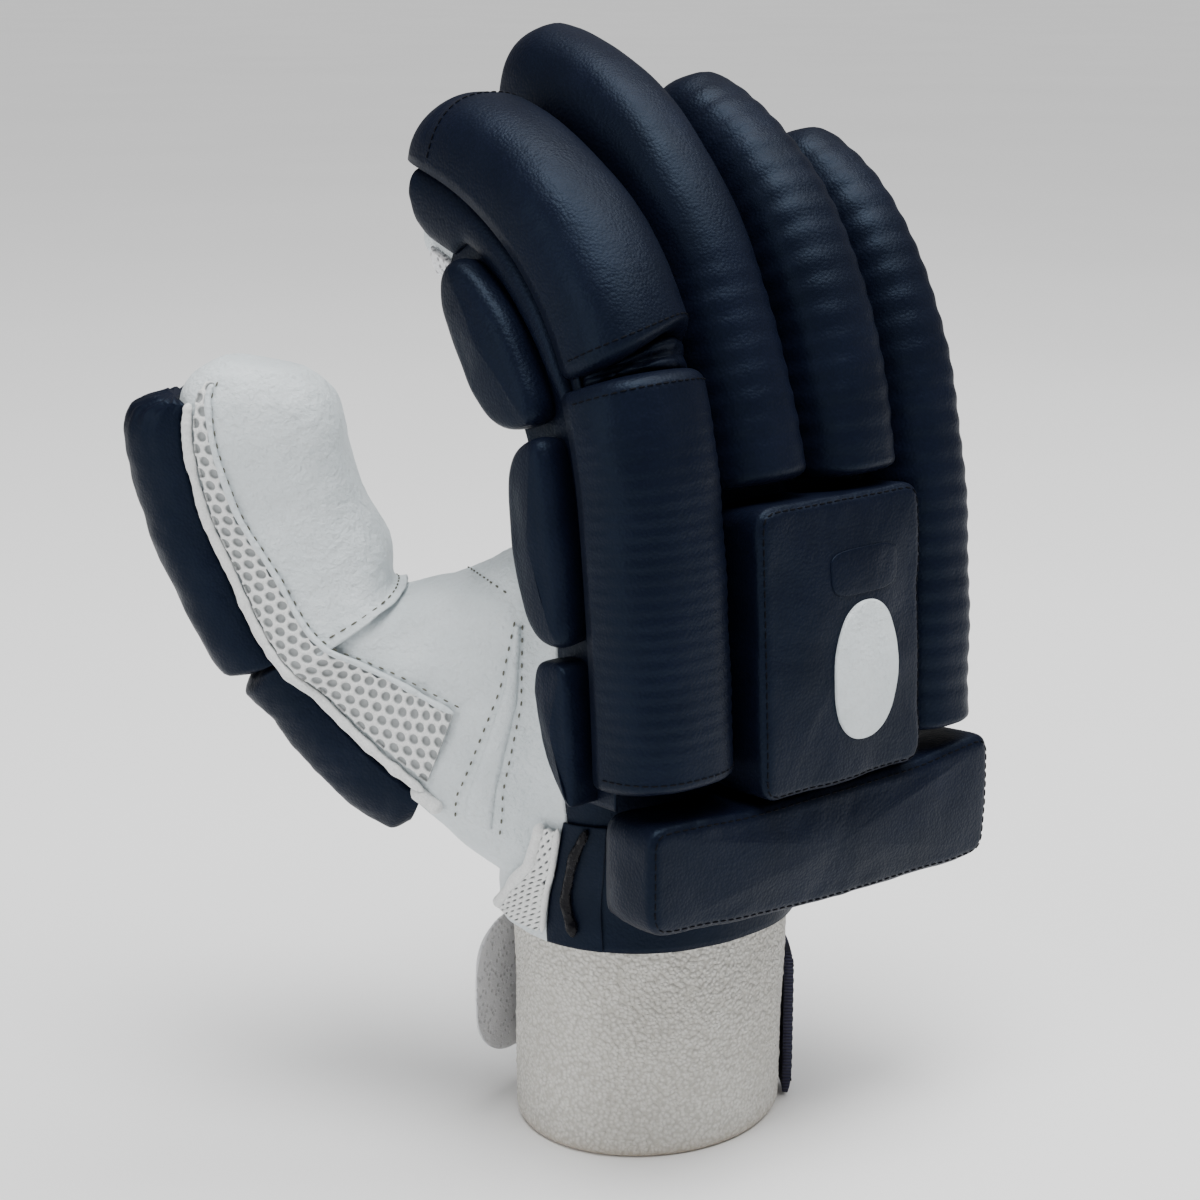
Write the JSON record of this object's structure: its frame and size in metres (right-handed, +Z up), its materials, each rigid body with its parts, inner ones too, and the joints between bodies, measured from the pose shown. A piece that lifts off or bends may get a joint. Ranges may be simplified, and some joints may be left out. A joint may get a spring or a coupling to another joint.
{
  "type": "cricket batting glove",
  "caption": "Right-hand cricket batting glove standing on its towelling cuff: curved padded rolls on the fingers, a white leather palm and a padded thumb.",
  "frame": {"origin": "centre of the bounding box's footprint, on the surface that the cuff stands on", "axes": "+Z up from the cuff to the finger tips, +X towards the little finger, -Y out of the back of the hand, +Y out of the palm"},
  "size_m": [0.1676, 0.151, 0.2755],
  "materials": {
    "white_leather": "pebbled white leather, soft and slightly wrinkled",
    "navy_leather": "navy coated leather with a fine grain and a satin sheen",
    "white_mesh": "white air mesh with round holes",
    "terry": "off-white towelling",
    "grey_knit": "light grey knit",
    "strap_navy": "dark navy webbing",
    "white_piping": "white woven piping",
    "black_binding": "glossy black binding"
  },
  "bodies": {
    "root": {"palm_body": "white_leather", "index_stall": "white_leather", "middle_stall": "white_leather", "ring_stall": "white_leather", "little_stall": "white_leather", "thumb_stall": "white_leather", "badge": "white_leather", "back_panel": "navy_leather", "index_roll": "navy_leather", "middle_roll": "navy_leather", "ring_roll": "navy_leather", "little_roll": "navy_leather", "index_block": "navy_leather", "knuckle_tuck": "navy_leather", "hand_pad": "navy_leather", "wrist_pad": "navy_leather", "index_side_pad_1": "navy_leather", "index_side_pad_2": "navy_leather", "index_side_pad_3": "navy_leather", "index_side_strip": "navy_leather", "thumb_pad_tip": "navy_leather", "thumb_pad_base": "navy_leather", "knit_patch": "white_mesh", "wrist_mesh": "white_mesh", "thumb_mesh": "white_mesh", "cuff": "terry", "cuff_strap": "strap_navy", "strap_tab": "grey_knit", "thumb_piping": "white_piping", "wrist_binding": "black_binding"}
  },
  "joints": []
}
